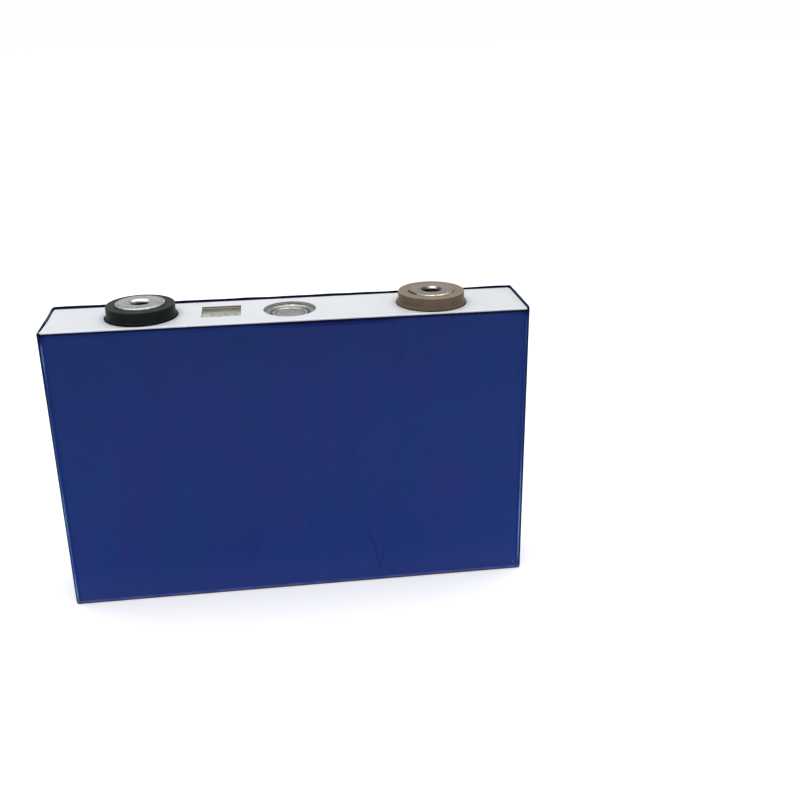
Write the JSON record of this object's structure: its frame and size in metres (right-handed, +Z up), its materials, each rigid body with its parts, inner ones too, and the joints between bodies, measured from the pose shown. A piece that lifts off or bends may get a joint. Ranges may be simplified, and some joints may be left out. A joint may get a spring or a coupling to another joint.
{
  "type": "prismatic battery cell",
  "caption": "Sealed rectangular lithium battery cell in a film-wrapped aluminium can, with a black-ringed and a brown-ringed tapped terminal, a round vent and a window on its white top.",
  "frame": {"origin": "middle of the base, on the surface that the cell stands on", "axes": "+Z up, from the base to the terminals; +X along the width, from the negative terminal to the positive terminal; the broad faces face -Y and +Y"},
  "size_m": [0.148, 0.0264, 0.0968],
  "materials": {
    "film": "gloss",
    "white_sheet": "satin",
    "adhesive": "matte",
    "can_metal": "satin",
    "lid_metal": "satin",
    "vent_metal": "satin",
    "inner_plastic": "satin",
    "seal_rubber": "matte",
    "plated_terminal": "satin",
    "bare_terminal": "satin",
    "black_plastic": "satin",
    "brown_plastic": "satin",
    "copper": "satin",
    "copper_foil": "satin",
    "collector_aluminium": "satin",
    "aluminium_foil": "satin",
    "blue_tape": "gloss",
    "green_tape": "gloss",
    "electrode_roll": "matte",
    "clear_film": "gloss"
  },
  "bodies": {
    "root": {"outer_film": "film", "top_insulation_sheet": "white_sheet", "sheet_adhesive": "adhesive", "can": "can_metal", "cap_plate": "lid_metal", "vent_burst_disc": "vent_metal", "vent_guard": "inner_plastic", "fill_port_cap": "lid_metal", "fill_port_seal": "seal_rubber", "negative_terminal_post": "plated_terminal", "negative_insulator_ring": "black_plastic", "negative_gasket": "seal_rubber", "negative_lower_insulator": "inner_plastic", "negative_collector": "copper", "negative_tabs_front": "copper_foil", "negative_tabs_rear": "copper_foil", "negative_weld_tape": "blue_tape", "positive_terminal_post": "bare_terminal", "positive_insulator_ring": "brown_plastic", "positive_gasket": "seal_rubber", "positive_lower_insulator": "inner_plastic", "positive_collector": "collector_aluminium", "positive_tabs_front": "aluminium_foil", "positive_tabs_rear": "aluminium_foil", "positive_weld_tape": "blue_tape", "jelly_roll_front": "electrode_roll", "jelly_roll_rear": "electrode_roll", "roll_end_tape_front": "green_tape", "roll_end_tape_rear": "green_tape", "insulating_bag": "clear_film", "bottom_support_plate": "inner_plastic"}
  },
  "joints": []
}
